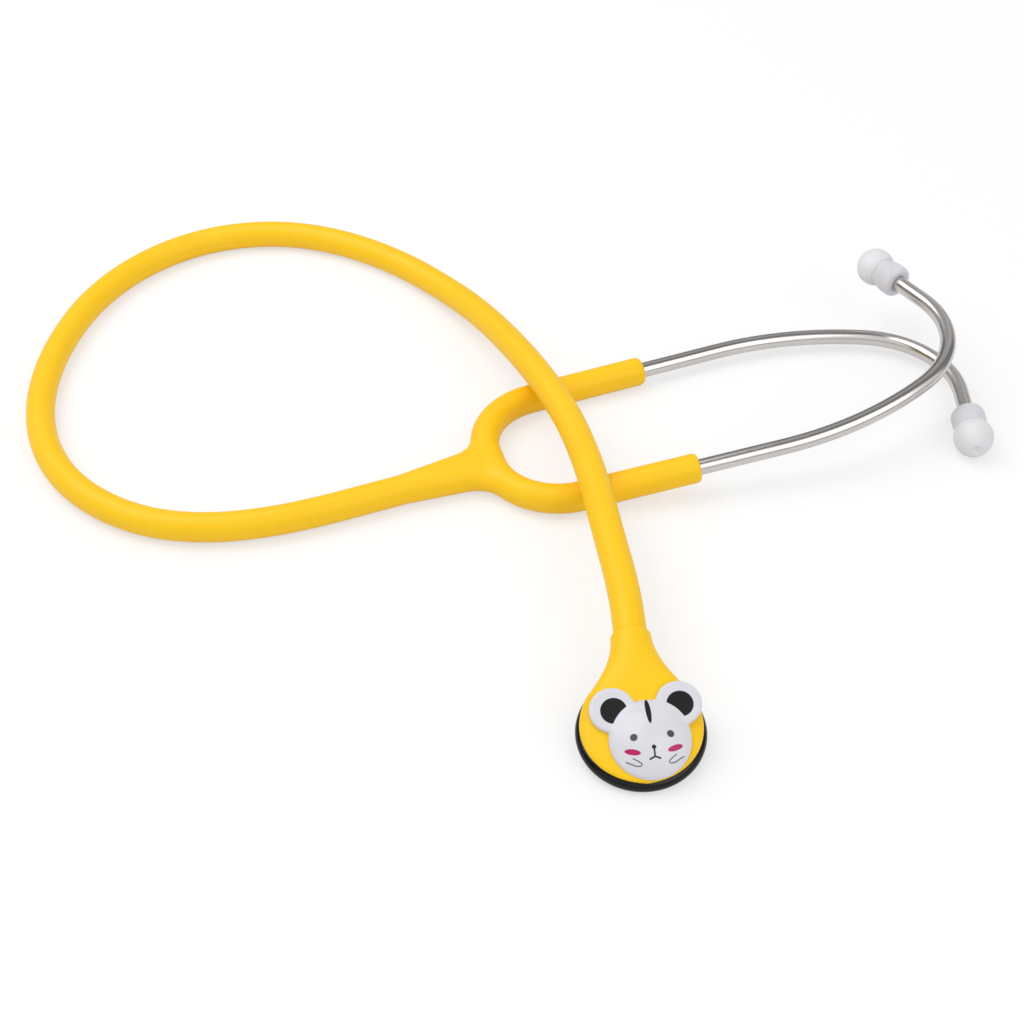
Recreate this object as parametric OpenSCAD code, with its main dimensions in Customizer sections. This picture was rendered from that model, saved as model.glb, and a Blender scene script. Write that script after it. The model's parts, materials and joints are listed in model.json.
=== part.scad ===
// Toy stethoscope lying on a table: a hose, a U-shaped yoke with two sprung arms, and a chest piece.
// Millimetres, +Z up, the table at zero. +X runs along the headset from the hose to the ear tips.

/* [Hose] */
// Outside diameter of the hose, the yoke and its legs
hose_od = 10; // [9:0.1:10.4]
// Bore of the hose
hose_bore = 5.2; // [4.8:0.1:5.6]

/* [Yoke] */
// Distance between the two leg axes at their roots
yoke_span = 54; // [50:0.5:60]
// Radius of the U's two corners, on the centre line
crotch_r = 23.9; // [20:0.1:25]
// Angle by which each arm splays from the headset's axis
arm_splay = 4.5; // [3:0.5:8]
// Length of the neck from the hose to the U's centre line
neck_length = 32; // [26:1:40]
// Extra width of the neck just before the U's corners
neck_flare = 5.6; // [3:0.1:7]
// Length of each leg from its root to its mouth
leg_length = 42.5; // [40:0.5:56]
// Radius of the rounding at a leg's mouth
mouth_round = 1.8; // [0.8:0.1:2]

/* [Ear tubes] */
// Outside diameter of an ear tube
tube_od = 5.4; // [5:0.05:5.5]
// Wall of an ear tube
tube_wall = 0.5; // [0.4:0.05:0.8]
// Straight part of an ear tube outside the leg
tube_straight = 29; // [20:1:34]
// Centre-line radius of the long bow
bow_r = 113; // [100:1:130]
// Turn of the long bow, in degrees
bow_turn = 28; // [24:1:30]
// Centre-line radius of the bend to the ear
ear_bend_r = 33; // [30:0.5:36]
// Turn of the bend to the ear, in degrees
ear_bend_turn = 83; // [75:1:85]
// Straight part between the bend and the ear tip
tube_end = 13; // [9:0.5:14]
// Angle by which the upper arm rises from the table
upper_lift = 6.6; // [6.4:0.1:8]
// Angle by which the upper ear tube is turned up about its leg
upper_twist = 2; // [1.5:0.1:4]

/* [Ear tips] */
// Diameter of the soft ball that sits in the ear
tip_ball_d = 13.4; // [12.8:0.1:13.8]
// Diameter of the skirt that covers the tube's end
tip_skirt_d = 11.5; // [10:0.1:12]
// Length of the skirt up to the ball
tip_skirt_length = 8.6; // [7.6:0.1:9]
// Overall length of an ear tip
tip_length = 19.2; // [18:0.1:21]

/* [Chest piece] */
// Outside diameter of the soft rim
rim_d = 37.9; // [37:0.1:42]
// Height of the soft rim
rim_height = 4.3; // [4:0.1:5]
// Diameter of the cover where it meets the rim
cover_d = 35.5; // [35:0.1:36.4]
// Height of the cover's upright edge above the rim
cover_edge = 1; // [0.8:0.1:1.6]
// Outside diameter of the cover's neck at the hose
neck_d = 12.1; // [11.8:0.1:13]
// Height of the stem's axis above the rim's lower face
stem_height = 7; // [6.8:0.05:7.4]
// Distance from the middle of the chest piece to the mouth of its neck
neck_reach = 30; // [29:0.5:36]
// Depth to which the hose enters the neck
hose_entry = 8; // [6:0.5:8]
// Thickness of the diaphragm
diaphragm_t = 0.4; // [0.3:0.05:0.6]
// Depth by which the rim's lip stands proud of the diaphragm
lip_proud = 0.8; // [0.6:0.05:1]

/* [Badge] */
// Diameter of the animal's face
face_d = 23.6; // [20:0.1:24.4]
// Height of the domed face above its edge
face_dome = 4; // [3:0.1:5]
// Diameter of an ear
ear_d = 13.3; // [10:0.1:13.4]
// Distance between the middles of the two ears
ear_spacing = 19; // [18:0.1:20]
// Distance of the ears' middles up from the face's middle
ear_ahead = 9.5; // [9:0.1:11]
// Slope of the badge on the cover, in degrees
badge_slope = 12.5; // [12:0.1:13]
// Angle by which the badge is turned on its slope
badge_turn = 2.5; // [0:0.5:4]

/* [Placement] */
// Middle of the U's bend on the table, X and Y
yoke_at = [-67.7, 51];
// Middle of the chest piece on the table, X and Y
chest_at = [-56.4, -76.7];
// Direction of the stem, in degrees from +X
stem_az = 78; // [76:0.5:80]
// Angle by which the hose lifts the stem side of the chest piece
chest_tilt = 9.3; // [8.9:0.1:9.7]

/* [Hidden] */
$fn = 96;

// Sides, as signs along +Y
left = 1;
right = -1;
// Overrun of every cut past the face that it opens
cut = 1;
// Gap of a running fit, and of a loose one
fit_gap = 0.03;
loose_gap = 0.15;
// Gap under what lies on the table
table_gap = 0.05;

// Yoke: places worked out from its sizes
tube_r = hose_od / 2;
lie_height = tube_r + table_gap;
bore_r = hose_bore / 2;
corner_turn = 90 - arm_splay;
corner_side = yoke_span / 2 - crotch_r * cos(arm_splay);
corner_x = yoke_at.x + crotch_r;
root_x = corner_x - crotch_r * sin(arm_splay);
// Stretch of the corner, and of the leg, that bends when the arms are spread
bend_turn = 30;
bend_ahead = 12;
// Place where the neck meets the hose, beside the yoke's own axis
neck_az = 5.4;
neck_shift = 3;
neck_dir = [cos(neck_az), sin(neck_az), 0];
neck_end = [yoke_at.x, yoke_at.y - neck_shift, lie_height];
neck_start = neck_end - neck_dir * neck_length;
yoke_sides = 24;

// Legs and what is held inside them
seat_r = tube_od / 2 + fit_gap;
clip_wall = 0.6;
clip_r = tube_od / 2 + clip_wall;
clip_start = 12.5;
clip_length = 14;
clip_seat = 9;
clip_sound_r = 0.7;
leg_bend_gap = 0.02;
leaf_t = 0.5;
leaf_height = 3.6;
leaf_offset = 0.55;
leaf_reach = 15.5;
leaf_lap = 0.3;
leaf_slot_gap = 0.08;

// Ear tubes: they start inside the leg and run on into the ear tip
tube_hidden = leg_length - clip_start - clip_length + clip_seat - fit_gap;
tube_in_tip = 8;
collar_t = 0.7;
collar_groove_r = 0.35;
collar_setback = 0.6;
collar_groove_shares = [0.3, 0.7];
tip_canal_r = 1.4;
tip_waist_r = 5.1;
tip_edge = 0.7;
tip_ball_r = tip_ball_d / 2;
// The lower ear tube is turned up about its leg until its ear tip rests on the table
tip_side = bow_r * (1 - cos(bow_turn)) + ear_bend_r * (cos(bow_turn) - cos(bow_turn + ear_bend_turn))
    + (tube_end + tip_length - tip_ball_r) * sin(bow_turn + ear_bend_turn);
lower_twist = asin((tip_ball_r + table_gap - lie_height) / tip_side);

// Chest piece
rim_r = rim_d / 2;
cover_r = cover_d / 2;
neck_r = neck_d / 2;
rim_wall = 1.9;
cup_flange_r = rim_r - rim_wall;
cup_flange_t = 1.8;
flange_hold = 2.2;
cup_body_r = cup_flange_r - flange_hold;
cup_rise = 0.7;
cup_body_top = rim_height + cup_rise;
cup_bottom = lip_proud + diaphragm_t;
cavity_depth = 1.9;
cavity_edge = 1.9;
cavity_r = cup_flange_r - cavity_edge;
lip_width = 1.2;
lip_r = cup_flange_r - lip_width;
boss_r = 3;
boss_setback = 3.8;
boss_reach = rim_r - boss_setback;
sound_r = 1.6;
sound_at = 6;
sound_wall = 0.4;
boss_start = sound_at - sound_r - sound_wall;
stem_slack = 0.22;
stem_r = bore_r - stem_slack;
stem_bore_r = 1.5;
stem_seat = 6;
stem_past = 5;
stem_reach = neck_reach + stem_past;
barb_slack = 0.13;
barb_r = bore_r - barb_slack;
barb_length = 2.2;
barb_pitch = 2.8;
// The cover's sides run in from here to the neck, and its slope eases into the neck over this length
flare_share = 0.56;
flare_at = cover_r * flare_share;
ease_length = 8;
shoulder_share = 0.64;
cover_sides = 48;

// Badge: its place on the cover, along the stem, across it and above the rim's lower face
badge_at = [-6.1, -1.7, 8.2];
face_edge = 1.2;
ear_t = 2;
peg_r = 1;
peg_length = 1.6;
peg_spacing = 9;
seat_depth = 0.3;

// Middle line of the free hose between the chest piece's neck and the yoke, chosen by hand:
// X and Y on the table, and the height of the hose's underside over it
hose_route = [
    [-46.4, -26, 12.2], [-44.9, -13, 12.5], [-43.2, 1, 12.5], [-41.4, 16, 12.4], [-40.2, 32, 12.2],
    [-40, 50, 12], [-41.6, 67.5, 11.8], [-44, 84.5, 11], [-46.6, 101, 9], [-49.4, 118, 6],
    [-53.6, 135, 3.3], [-59.3, 151, 1.2], [-68.3, 168.5, 0.3], [-79.2, 183.5, 0.1], [-92.5, 196.8, 0.1],
    [-108, 207, 0.1], [-125, 212.6, 0.1], [-143, 213.2, 0.1], [-160, 208.6, 0.1], [-176, 199.2, 0.1],
    [-190, 185.2, 0.1], [-201.5, 166.5, 0.1], [-209.5, 146, 0.1], [-213.6, 124, 0.1], [-212.8, 103, 0.1],
    [-206.7, 83, 0.1], [-196.4, 67, 0.1], [-181.5, 53.8, 0.1], [-164, 46, 0.1], [-146, 42.9, 0.1],
    [-128, 42.7, 0.1], [-112, 43.9, 0.1]];
// The hose runs straight for this length in front of the chest piece's neck
hose_straight = 10;
hose_sides = 12;

// Tubes swept through points: each ring stands square to the direction given at its point
function unit(v) = v / norm(v);
function across(d) = unit(cross([0, 0, 1], d));
function mid_dir(p, i) = unit(unit(p[i + 1] - p[i]) + unit(p[i] - p[i - 1]));
function ring(p, d, r, n) = [for (k = [0:n - 1]) let (a = 360 * (k + 0.5) / n)
    p + across(d) * r * cos(a) + cross(d, across(d)) * r * sin(a)];
function skin_faces(rows, n) = concat(
    [[for (k = [0:n - 1]) k]],
    [for (i = [0:rows - 2], k = [0:n - 1]) [i * n + k, (i + 1) * n + k, (i + 1) * n + (k + 1) % n]],
    [for (i = [0:rows - 2], k = [0:n - 1]) [i * n + k, (i + 1) * n + (k + 1) % n, i * n + (k + 1) % n]],
    [[for (k = [n - 1:-1:0]) (rows - 1) * n + k]]);

module hollow(points, dirs, r, bore, n) {
    last = len(points) - 1;
    in = (last + 1) * n;
    polyhedron(convexity = 6,
        points = [for (wall = [r, bore], i = [0:last]) each ring(points[i], dirs[i], wall, n)],
        faces = [for (i = [0:last - 1], k = [0:n - 1]) let (a = i * n + k, b = i * n + (k + 1) % n)
            each [[a, a + n, b + n], [a, b + n, b],
                [in + a, in + b + n, in + a + n], [in + a, in + b, in + b + n],
                if (i == 0) each [[a, b, in + b], [a, in + b, in + a]],
                if (i == last - 1) each [[a + n, in + b + n, b + n], [a + n, in + a + n, in + b + n]]]]);
}
module swept(points, dirs, r, n) {
    rings = [for (i = [0:len(points) - 1]) each ring(points[i], dirs[i], r, n)];
    polyhedron(points = rings, faces = skin_faces(len(points), n), convexity = 6);
}

// The same path with both ends drawn out, for a bore that opens both end faces
module swept_bore(points, dirs, r, n) {
    last = len(points) - 1;
    longer = concat([points[0] - dirs[0] * cut], points, [points[last] + dirs[last] * cut]);
    swept(longer, concat([dirs[0]], dirs, [dirs[last]]), r, n);
}

// The frame of an arm: +X along the leg from its root, +Y inward, +Z up
function arm_lift(side) = side == right ? upper_lift : 0;
module arm_frame(side) {
    translate([root_x, yoke_at.y + side * yoke_span / 2, lie_height])
        rotate([0, -arm_lift(side), side * arm_splay])
            if (side == left) mirror([0, 1, 0]) rotate([lower_twist, 0, 0]) children();
            else rotate([upper_twist, 0, 0]) children();
}
function arm_dir(side) = [cos(arm_lift(side)) * cos(arm_splay), side * cos(arm_lift(side)) * sin(arm_splay),
    sin(arm_lift(side))];
function root_point(side) = [root_x, yoke_at.y + side * yoke_span / 2, lie_height];

// Centre line of a corner of the U, by its turn: 0 at the middle of the U, corner_turn at the leg's root
function corner_point(side, turn) = [corner_x - crotch_r * cos(turn),
    yoke_at.y + side * (corner_side + crotch_r * sin(turn)), lie_height];
function corner_dir(side, turn) = [sin(turn), side * cos(turn), 0];

// The frame of the chest piece: +X toward the stem, +Z out of the cover, its rim's lower face at zero.
// The round front of its rim rests on the table.
bead_r = rim_height / 2;
chest_base = [chest_at.x, chest_at.y, (rim_r - bead_r) * sin(chest_tilt) + bead_r * (1 - cos(chest_tilt))];
stem_dir = [cos(chest_tilt) * cos(stem_az), cos(chest_tilt) * sin(stem_az), sin(chest_tilt)];
face_dir = [-sin(chest_tilt) * cos(stem_az), -sin(chest_tilt) * sin(stem_az), cos(chest_tilt)];
function stem_point(u) = chest_base + stem_dir * u + face_dir * stem_height;
module chest_frame() {
    translate(chest_base) rotate([0, -chest_tilt, stem_az]) children();
}

// The hose: one plain tube from the chest piece's stem to the neck of the yoke
module main_tube() {
    hose_points = concat([for (u = [-hose_entry, 0, hose_straight]) stem_point(neck_reach + u)],
        [for (p = hose_route) p + [0, 0, tube_r]], [neck_start]);
    last = len(hose_points) - 1;
    dirs = [for (i = [0:last]) i < 2 ? stem_dir : i == last ? neck_dir : mid_dir(hose_points, i)];
    color("gold") hollow(hose_points, dirs, tube_r, bore_r, hose_sides);
}

// The yoke's moulding: a neck that widens into a U, up to where its corners begin to bend
neck_steps = 10;
neck_power_share = 10;
function neck_half(t) = neck_flare / 2 * t + corner_side * t ^ neck_power_share;
function stadium(p, d, half, r, n) = [for (k = [0:n - 1]) let (a = 360 * (k + 0.5) / n)
    p + across(d) * (r * cos(a) + sign(cos(a)) * half) + cross(d, across(d)) * r * sin(a)];

module yoke() {
    fixed_turn = corner_turn - bend_turn;
    turns = [for (t = [0:fixed_turn / 6:fixed_turn]) t];
    u_points = concat([for (i = [len(turns) - 1:-1:0]) corner_point(right, turns[i])],
        [for (t = turns) corner_point(left, t)]);
    u_dirs = concat([for (i = [len(turns) - 1:-1:0]) -corner_dir(right, turns[i])],
        [for (t = turns) corner_dir(left, t)]);
    neck = [for (i = [0:neck_steps]) each stadium(neck_start + neck_dir * neck_length * i / neck_steps,
        neck_dir, neck_half(i / neck_steps), tube_r, yoke_sides)];
    color("gold") difference() {
        union() {
            polyhedron(points = neck, faces = skin_faces(neck_steps + 1, yoke_sides), convexity = 4);
            swept(u_points, u_dirs, tube_r, yoke_sides);
        }
        swept([neck_start - neck_dir * cut, neck_end], [neck_dir, neck_dir], bore_r, hose_sides);
        swept_bore(u_points, u_dirs, bore_r, yoke_sides);
    }
}

// The part of the moulding that bends: the end of a corner and the start of a leg
module yoke_bend(side) {
    turns = [for (i = [0:5]) corner_turn - bend_turn + bend_turn * i / 5];
    leg_start = root_point(side) + arm_dir(side) * bend_ahead;
    points = concat([for (t = turns) corner_point(side, t)], [leg_start]);
    dirs = concat([for (t = turns) corner_dir(side, t)], [arm_dir(side)]);
    color("gold") hollow(points, dirs, tube_r, bore_r, yoke_sides);
}

// A leg: a straight sleeve with a rounded mouth that grips the ear tube and its spring clip
module yoke_leg(side) {
    start = bend_ahead + leg_bend_gap;
    chamber = clip_start + clip_length + loose_gap;
    mouth = leg_length - mouth_round;
    color("gold") arm_frame(side) rotate([0, 90, 0]) rotate_extrude() difference() {
        union() {
            translate([0, start]) square([tube_r, mouth - start]);
            translate([0, start]) square([tube_r - mouth_round, leg_length - start]);
            translate([tube_r - mouth_round, mouth]) circle(r = mouth_round);
        }
        square([seat_r, leg_length + cut]);
        square([clip_r + fit_gap, chamber]);
    }
}

// The two nested spring strips: they run round the U inside its bore and draw the arms together
module leaf(offset) {
    r = crotch_r + offset;
    x = -offset - leaf_t / 2;
    color("silver") {
        translate([yoke_at.x + x, yoke_at.y - corner_side, lie_height - leaf_height / 2])
            cube([leaf_t, 2 * corner_side, leaf_height]);
        for (side = [left, right]) {
            translate([corner_x, yoke_at.y + side * corner_side, lie_height])
                rotate([0, 0, side == left ? 180 - corner_turn : 180])
                    rotate_extrude(angle = corner_turn)
                        translate([r - leaf_t / 2, -leaf_height / 2]) square([leaf_t, leaf_height]);
            arm_frame(side) translate([-leaf_lap, x, -leaf_height / 2])
                cube([leaf_reach + leaf_lap, leaf_t, leaf_height]);
        }
    }
}
module leaf_spring_inner() { leaf(-leaf_offset); }
module leaf_spring_outer() { leaf(leaf_offset); }

// The clip that joins both strips to the end of an ear tube
module spring_clip(side) {
    slot = [2 * leaf_offset + leaf_t + 2 * leaf_slot_gap, leaf_height + 2 * leaf_slot_gap];
    sound_side = slot.x / 2 + clip_sound_r + leaf_slot_gap;
    color("silver") arm_frame(side) rotate([0, 90, 0]) translate([0, 0, clip_start]) difference() {
        cylinder(r = clip_r, h = clip_length);
        translate([0, 0, clip_length - clip_seat]) cylinder(r = tube_od / 2 + fit_gap, h = clip_seat + cut);
        translate([-slot.y / 2, -slot.x / 2, -cut]) cube([slot.y, slot.x, clip_length]);
        for (s = [-1, 1]) translate([0, s * sound_side, -cut]) cylinder(r = clip_sound_r, h = clip_length);
    }
}

// An ear tube: straight in the leg, then a long bow, then the bend to the ear and a short straight end.
// Its centre line in the arm's frame, by the turn along each bend.
tube_sides = 20;
bow_steps = 7;
ear_steps = 12;
full_turn = bow_turn + ear_bend_turn;
function heading(turn) = [cos(turn), sin(turn), 0];
function bow_point(turn) = [leg_length + tube_straight + bow_r * sin(turn), bow_r * (1 - cos(turn)), 0];
function ear_point(turn) = bow_point(bow_turn) + ear_bend_r
    * [sin(bow_turn + turn) - sin(bow_turn), cos(bow_turn) - cos(bow_turn + turn), 0];
tip_mouth = ear_point(ear_bend_turn) + heading(full_turn) * tube_end;
module tip_frame() {
    translate(tip_mouth) rotate([0, 0, full_turn]) children();
}
module ear_tube(side) {
    bow_turns = [for (i = [0:bow_steps]) bow_turn * i / bow_steps];
    ear_turns = [for (i = [1:ear_steps]) ear_bend_turn * i / ear_steps];
    points = concat([[leg_length - tube_hidden, 0, 0]], [for (t = bow_turns) bow_point(t)],
        [for (t = ear_turns) ear_point(t)], [tip_mouth + heading(full_turn) * tube_in_tip]);
    turns = concat([0], bow_turns, [for (t = ear_turns) bow_turn + t], [full_turn]);
    color("lightgray") arm_frame(side)
        hollow(points, [for (t = turns) heading(t)], tube_od / 2, tube_od / 2 - tube_wall, tube_sides);
}

// The grooved collar on the tube's end that the ear tip grips
collar_r = tube_od / 2 + collar_t;
module tip_collar(side) {
    length = tube_in_tip - collar_setback;
    color("gainsboro") arm_frame(side) tip_frame() translate([collar_setback, 0, 0]) rotate([0, 90, 0])
        difference() {
            cylinder(r = collar_r, h = length);
            translate([0, 0, -cut]) cylinder(r = tube_od / 2 + fit_gap, h = length + 2 * cut);
            for (t = collar_groove_shares) translate([0, 0, length * t]) rotate_extrude()
                translate([collar_r + collar_groove_r / 2, 0]) circle(r = collar_groove_r, $fn = 32);
        }
}

// An ear tip: a soft ball with a hollow skirt that pulls off the collar
module ear_tip(side) {
    ball_at = tip_length - tip_ball_r;
    skirt_r = tip_skirt_d / 2;
    color("white") arm_frame(side) tip_frame() rotate([0, 90, 0]) difference() {
        union() {
            rotate_extrude() polygon([[0, 0], [skirt_r - tip_edge, 0], [skirt_r, tip_edge],
                [skirt_r, tip_skirt_length / 2], [tip_waist_r, tip_skirt_length], [0, tip_skirt_length]]);
            translate([0, 0, ball_at]) sphere(r = tip_ball_r);
        }
        translate([0, 0, -cut]) cylinder(r = collar_r + fit_gap, h = tube_in_tip + loose_gap + cut);
        translate([0, 0, -cut]) cylinder(r = tip_canal_r, h = tip_length + 2 * cut);
    }
}

// The soft cover: a wedge that slopes up from the front edge and narrows into a neck for the hose
neck_top = stem_height + neck_r;
flare_half = sqrt(cover_r ^ 2 - flare_at ^ 2);
skirt_top = rim_height + cover_edge;
slope_height = badge_at.z + seat_depth;
slope_end = badge_at.x + (neck_top - slope_height) / tan(badge_slope);
step_at = rim_r + 2 * loose_gap;
function ease(u, from, to) = let (t = min(1, max(0, (u - from) / (to - from)))) t * t * (3 - 2 * t);
function blend(a, b, t) = a + (b - a) * t;
function cover_half(u) = u < flare_at ? sqrt(cover_r ^ 2 - u ^ 2)
    : neck_r + (flare_half - neck_r) * ((neck_reach - u) / (neck_reach - flare_at)) ^ 2;
function slope_line(u) = let (v = (u - slope_end) / ease_length)
    v < -0.5 ? v : v < 0.5 ? -(0.5 - v) ^ 2 / 2 : 0;
function cover_top(u) = neck_top + slope_line(u) * ease_length * tan(badge_slope);
function cover_mid(u) = blend(skirt_top, stem_height, ease(u, 0, step_at));
function cover_bottom(u) = u < step_at ? rim_height : stem_height - neck_r;
function shoulder(u) = blend(shoulder_share, 1, ease(u, 0, neck_reach));
function curved(x, power) = sign(x) * abs(x) ^ power;
function cover_ring(u) = let (e = shoulder(u), mid = cover_mid(u), up = cover_top(u) - mid,
    down = mid - cover_bottom(u)) [for (k = [0:cover_sides - 1]) let (a = 360 * (k + 0.5) / cover_sides)
        [u, cover_half(u) * curved(cos(a), e), mid + curved(sin(a), e) * (a < 180 ? up : down)]];

module chestpiece_cover() {
    fronts = [3, 8, 14, 22, 32, 43, 55, 67, 79, 91, 103, 115];
    stations = concat([for (a = fronts) -cover_r * cos(a)],
        [for (i = [0:5]) blend(flare_at, step_at - fit_gap, i / 5)],
        [for (i = [0:6]) blend(step_at, neck_reach, i / 6)]);
    hose_r = tube_r + 2 * loose_gap;
    color("gold") chest_frame() difference() {
        polyhedron(points = [for (u = stations) each cover_ring(u)],
            faces = skin_faces(len(stations), cover_sides), convexity = 6);
        translate([0, 0, -cut]) cylinder(r = cup_body_r + fit_gap, h = cup_body_top + fit_gap + cut);
        translate([boss_start - fit_gap, 0, stem_height]) rotate([0, 90, 0])
            cylinder(r = boss_r + fit_gap, h = boss_reach - boss_start + 2 * fit_gap);
        translate([boss_start, 0, stem_height]) rotate([0, 90, 0]) cylinder(r = bore_r, h = neck_reach);
        translate([neck_reach - hose_entry - fit_gap, 0, stem_height]) rotate([0, 90, 0])
            cylinder(r = hose_r, h = hose_entry + cut);
        badge_frame() {
            cylinder(r = face_d / 2 + fit_gap, h = face_edge + face_dome);
            badge_ears(fit_gap, ear_t + cut);
            badge_pegs(fit_gap);
        }
    }
}

// The cup under the cover: a shallow sound cavity, and a boss that holds the stem
module chestpiece_cup() {
    top = cup_bottom + cup_flange_t;
    color("silver") chest_frame() difference() {
        union() {
            translate([0, 0, cup_bottom]) cylinder(r = cup_flange_r, h = cup_flange_t);
            translate([0, 0, top]) cylinder(r = cup_body_r, h = cup_body_top - top);
            translate([boss_start, 0, stem_height]) rotate([0, 90, 0])
                cylinder(r = boss_r, h = boss_reach - boss_start);
        }
        translate([0, 0, cup_bottom]) rotate_extrude()
            polygon([[0, -cut], [cavity_r, -cut], [cavity_r, 0], [0, cavity_depth]]);
        translate([sound_at, 0, cup_bottom]) cylinder(r = sound_r, h = stem_height - cup_bottom);
        translate([sound_at - sound_r, 0, stem_height]) rotate([0, 90, 0])
            cylinder(r = stem_bore_r, h = boss_reach);
        translate([boss_reach - stem_seat, 0, stem_height]) rotate([0, 90, 0])
            cylinder(r = stem_r + fit_gap, h = stem_seat + cut);
    }
}

// The diaphragm: a thin stiff disc, held at its edge by the soft rim
module diaphragm() {
    color("whitesmoke") chest_frame() translate([0, 0, lip_proud])
        cylinder(r = cup_flange_r, h = diaphragm_t);
}

// The soft black rim: it snaps over the cup's flange and holds the diaphragm against it
module soft_rim() {
    groove_top = cup_bottom + cup_flange_t;
    color("black") chest_frame() difference() {
        rotate_extrude() union() {
            translate([rim_r - bead_r, bead_r]) circle(r = bead_r);
            translate([lip_r, 0]) square([rim_r - bead_r - lip_r, rim_height]);
        }
        translate([0, 0, lip_proud]) cylinder(r = cup_flange_r + fit_gap, h = groove_top - lip_proud);
        translate([0, 0, groove_top - cut]) cylinder(r = cup_body_r + fit_gap, h = rim_height);
    }
}

// The metal stem: pressed into the cup's boss, with barbs inside the hose
module hose_stem() {
    start = boss_reach - stem_seat;
    color("silver") chest_frame() translate([0, 0, stem_height]) rotate([0, 90, 0]) difference() {
        union() {
            translate([0, 0, start]) cylinder(r = stem_r, h = stem_reach - start);
            for (i = [0:2]) translate([0, 0, stem_reach - i * barb_pitch - barb_length])
                cylinder(r1 = barb_r, r2 = stem_r, h = barb_length);
        }
        translate([0, 0, start - cut]) cylinder(r = stem_bore_r, h = stem_reach - start + 2 * cut);
    }
}

// The badge: an animal's domed face with two round ears, pegged to the cover's slope
module badge_frame() {
    translate(badge_at) rotate([0, -badge_slope, 0]) rotate([0, 0, badge_turn]) children();
}
module badge_ears(gap, height) {
    for (s = [-1, 1]) translate([ear_ahead, s * ear_spacing / 2, 0])
        cylinder(r = ear_d / 2 + gap, h = height);
}
module badge_pegs(gap) {
    for (s = [-1, 1]) translate([0, s * peg_spacing / 2, -peg_length - gap])
        cylinder(r = peg_r + gap, h = peg_length + gap + face_edge);
}
module animal_badge() {
    face_r = face_d / 2;
    dome_r = (face_r ^ 2 + face_dome ^ 2) / (2 * face_dome);
    color("white") chest_frame() badge_frame() {
        cylinder(r = face_r, h = face_edge);
        translate([0, 0, face_edge]) intersection() {
            translate([0, 0, face_dome - dome_r]) sphere(r = dome_r);
            cylinder(r = face_r, h = face_dome + cut);
        }
        badge_ears(0, ear_t);
        badge_pegs(0);
    }
}

main_tube();
yoke();
yoke_bend(left);  // yoke_bend_left
yoke_bend(right);  // yoke_bend_right
yoke_leg(left);  // yoke_leg_left
yoke_leg(right);  // yoke_leg_right
leaf_spring_inner();
leaf_spring_outer();
spring_clip(left);  // spring_clip_left
spring_clip(right);  // spring_clip_right
ear_tube(left);  // ear_tube_left
ear_tube(right);  // ear_tube_right
tip_collar(left);  // tip_collar_left
tip_collar(right);  // tip_collar_right
ear_tip(left);  // ear_tip_left
ear_tip(right);  // ear_tip_right
chestpiece_cover();
chestpiece_cup();
diaphragm();
soft_rim();
hose_stem();
animal_badge();
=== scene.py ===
import json
import math

import bpy
import numpy as np
from mathutils import Matrix, Vector


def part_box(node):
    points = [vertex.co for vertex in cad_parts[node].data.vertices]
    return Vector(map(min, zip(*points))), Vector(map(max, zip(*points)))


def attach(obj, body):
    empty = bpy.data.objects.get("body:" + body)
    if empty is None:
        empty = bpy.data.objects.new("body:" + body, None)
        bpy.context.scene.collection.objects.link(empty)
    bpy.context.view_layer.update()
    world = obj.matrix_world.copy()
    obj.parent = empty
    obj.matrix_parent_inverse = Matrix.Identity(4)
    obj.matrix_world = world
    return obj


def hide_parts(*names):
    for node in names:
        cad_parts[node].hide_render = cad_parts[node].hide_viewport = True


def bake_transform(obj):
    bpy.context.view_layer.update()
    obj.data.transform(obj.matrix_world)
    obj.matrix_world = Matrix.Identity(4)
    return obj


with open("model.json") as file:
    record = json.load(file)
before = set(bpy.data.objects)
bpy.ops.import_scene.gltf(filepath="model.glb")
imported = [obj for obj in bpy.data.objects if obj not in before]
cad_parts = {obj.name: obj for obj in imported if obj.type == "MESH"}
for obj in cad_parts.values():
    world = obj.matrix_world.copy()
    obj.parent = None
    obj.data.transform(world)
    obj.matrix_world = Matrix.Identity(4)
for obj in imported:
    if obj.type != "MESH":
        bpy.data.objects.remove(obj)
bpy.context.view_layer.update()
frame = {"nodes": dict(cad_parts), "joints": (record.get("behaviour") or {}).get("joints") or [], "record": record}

# Camera
# It looks down on the toy from the chest piece's side, as in the photograph, and is rolled a little.
# Its pitch, roll and height were solved from the widths of the hose's loop in the photograph, and its
# place and direction over the table from the ends of the yoke's legs. The focal length is a compromise.
camera_place = Vector((-0.1622, -0.3736, 0.38397))
camera_pitch, camera_azimuth, camera_roll = (math.radians(a) for a in (42.87, 76.56, 2.7475))
focal_px, frame_px = 1700.0, 1024.0
ahead = Vector((math.cos(camera_pitch) * math.cos(camera_azimuth),
                math.cos(camera_pitch) * math.sin(camera_azimuth), -math.sin(camera_pitch)))
level = Vector((math.sin(camera_azimuth), -math.cos(camera_azimuth), 0))
steep = ahead.cross(level)
right_hand = math.cos(camera_roll) * level + math.sin(camera_roll) * steep
downward = math.cos(camera_roll) * steep - math.sin(camera_roll) * level
lens = bpy.data.cameras.new("camera")
lens.sensor_width = 36.0
lens.lens = lens.sensor_width * focal_px / frame_px
lens.clip_start = 0.01
camera = bpy.data.objects.new("camera", lens)
turned = Matrix((right_hand, -downward, -ahead)).transposed()
camera.matrix_world = Matrix.Translation(camera_place) @ turned.to_4x4()
bpy.context.scene.collection.objects.link(camera)
bpy.context.scene.camera = camera

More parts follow.
